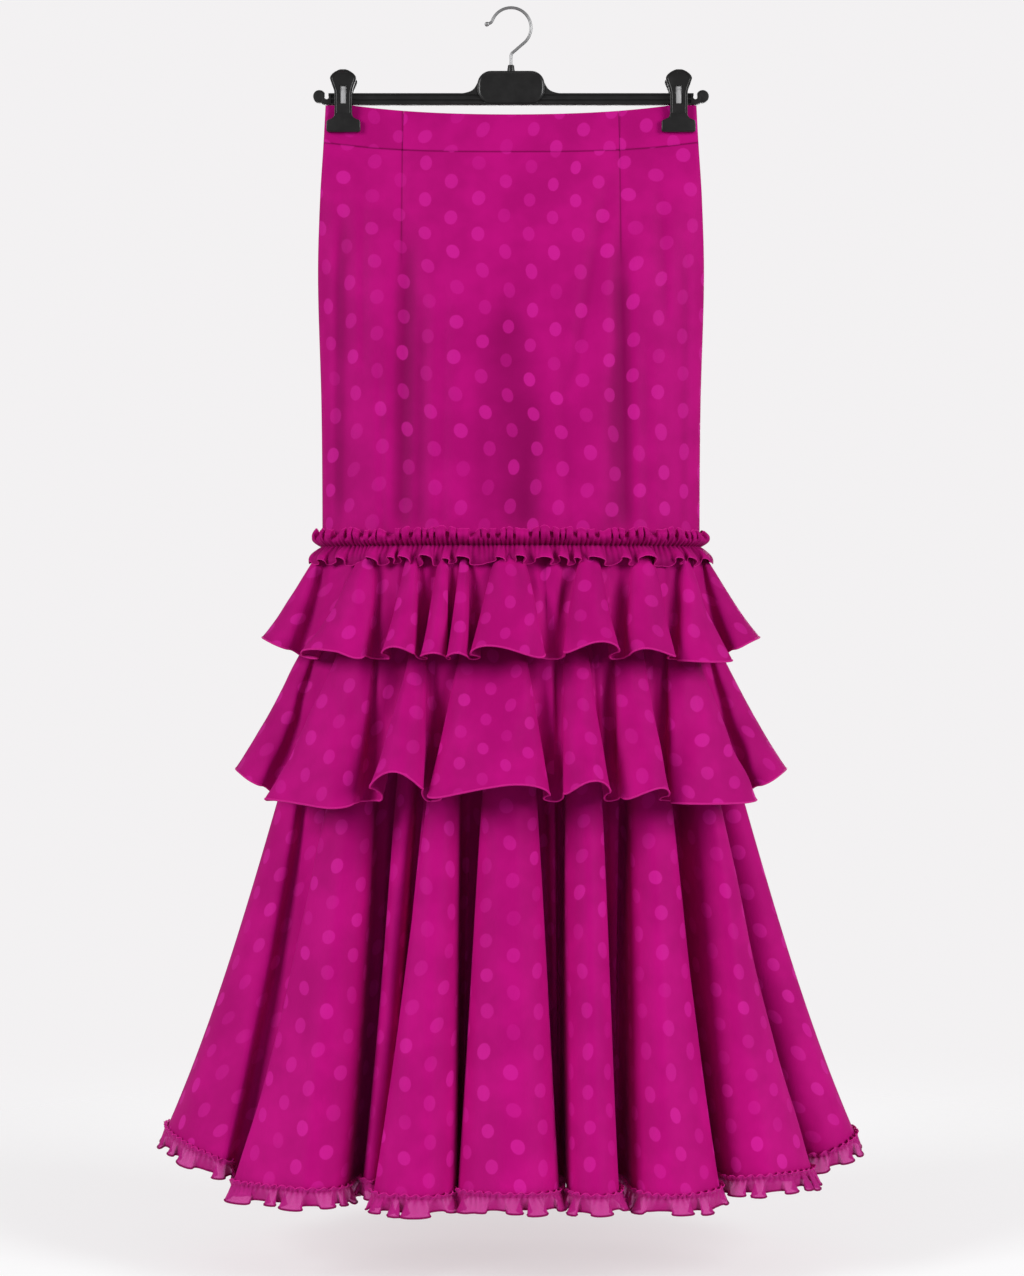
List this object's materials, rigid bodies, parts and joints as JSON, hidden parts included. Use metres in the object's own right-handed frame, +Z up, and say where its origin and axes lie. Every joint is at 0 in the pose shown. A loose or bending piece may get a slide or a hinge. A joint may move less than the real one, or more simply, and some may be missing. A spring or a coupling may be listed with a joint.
{
  "type": "flamenco skirt on clip hanger",
  "caption": "Long fitted flamenco skirt with gathered flounces at the knee and a full gathered hem, hung by its waistband from a clip hanger.",
  "frame": {"origin": "the point on the inside of the hook's bend that rests on a rail", "axes": "+Z up along the length, +X across the skirt to the wearer's left side as seen from the front, -Y the front"},
  "size_m": [0.7034, 0.3881, 1.17],
  "materials": {
    "dotted_crepe": "matte satin crepe with a slight sheen and tone-on-tone dots",
    "frill_crepe": "the same crepe without dots, finely gathered",
    "organza": "slightly sheer organza with a rolled edge",
    "black_plastic": "black injection-moulded plastic, semi-matt",
    "bright_steel": "bright zinc-plated steel wire and band"
  },
  "bodies": {
    "root": {"waistband_front_left": "dotted_crepe", "waistband_front_centre": "dotted_crepe", "waistband_front_right": "dotted_crepe", "waistband_back_left": "dotted_crepe", "waistband_back_right": "dotted_crepe", "front_panel": "dotted_crepe", "back_panel_left": "dotted_crepe", "back_panel_right": "dotted_crepe", "knee_frill_front": "frill_crepe", "knee_frill_back": "frill_crepe", "flounce_1_front": "dotted_crepe", "flounce_1_back": "dotted_crepe", "flounce_2_front": "dotted_crepe", "flounce_2_back": "dotted_crepe", "flounce_3_front": "dotted_crepe", "flounce_3_back": "dotted_crepe", "hem_frill_front": "organza", "hem_frill_back": "organza", "hanger_bar": "black_plastic", "hanger_hook": "bright_steel", "clip_left_front_lever": "black_plastic", "clip_left_back_lever": "black_plastic", "clip_left_spring": "bright_steel", "clip_right_front_lever": "black_plastic", "clip_right_back_lever": "black_plastic", "clip_right_spring": "bright_steel"}
  },
  "joints": []
}
